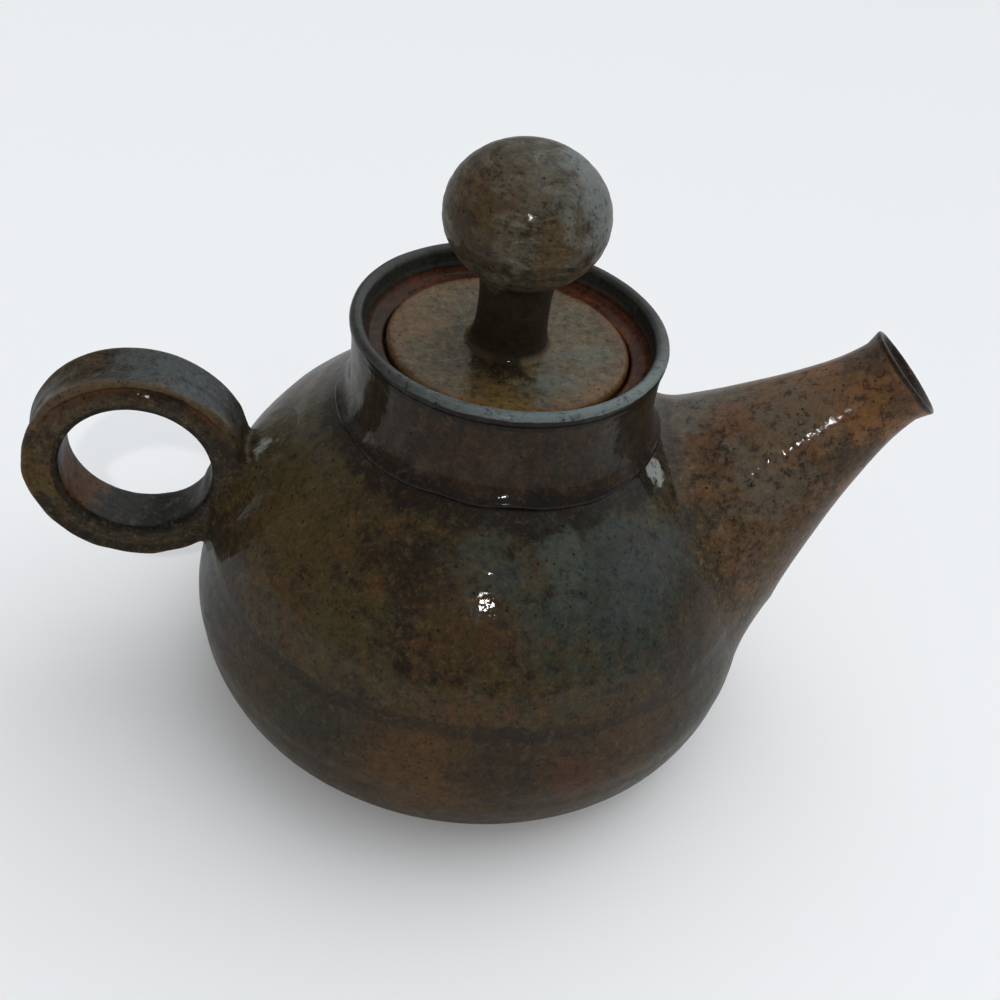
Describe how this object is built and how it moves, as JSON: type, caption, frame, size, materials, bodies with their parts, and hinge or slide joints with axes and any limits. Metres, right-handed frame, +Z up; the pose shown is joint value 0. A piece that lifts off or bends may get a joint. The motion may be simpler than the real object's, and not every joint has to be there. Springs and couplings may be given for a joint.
{
  "type": "pottery teapot",
  "caption": "Squat hand-thrown stoneware teapot with a tapering spout, a ring handle, an upright neck and a loose drop-in lid with a ball knob",
  "frame": {"origin": "middle of the foot's flat resting face, on the pot's own axis", "axes": "+Z up along the pot's axis, +X towards the spout, -X towards the ring handle"},
  "size_m": [0.2454, 0.161, 0.1682],
  "materials": {
    "body_glaze": "glossy mottled brown stoneware glaze",
    "bare_clay": "unglazed reddish stoneware",
    "neck_glaze": "glossy purplish brown glaze with a pale rim",
    "seat_glaze": "thin orange-brown glaze",
    "spout_glaze": "glossy orange-brown glaze with dark spots",
    "handle_glaze": "glossy grey-brown glaze",
    "lid_glaze": "glossy ochre glaze",
    "knob_glaze": "glossy grey-beige glaze with throwing lines"
  },
  "bodies": {
    "pot": {"body_bowl": "body_glaze", "foot": "bare_clay", "neck_collar": "neck_glaze", "lid_seat": "seat_glaze", "spout": "spout_glaze", "handle_ring": "handle_glaze", "handle_pad": "handle_glaze"},
    "lid": {"lid_plate": "lid_glaze", "knob_stem": "knob_glaze", "knob_ball": "knob_glaze"}
  },
  "joints": [
    {"name": "lid_lift", "type": "slide", "parent": "pot", "child": "lid", "axis": [0, 0, 1], "range_m": [0, 0.08]}
  ]
}
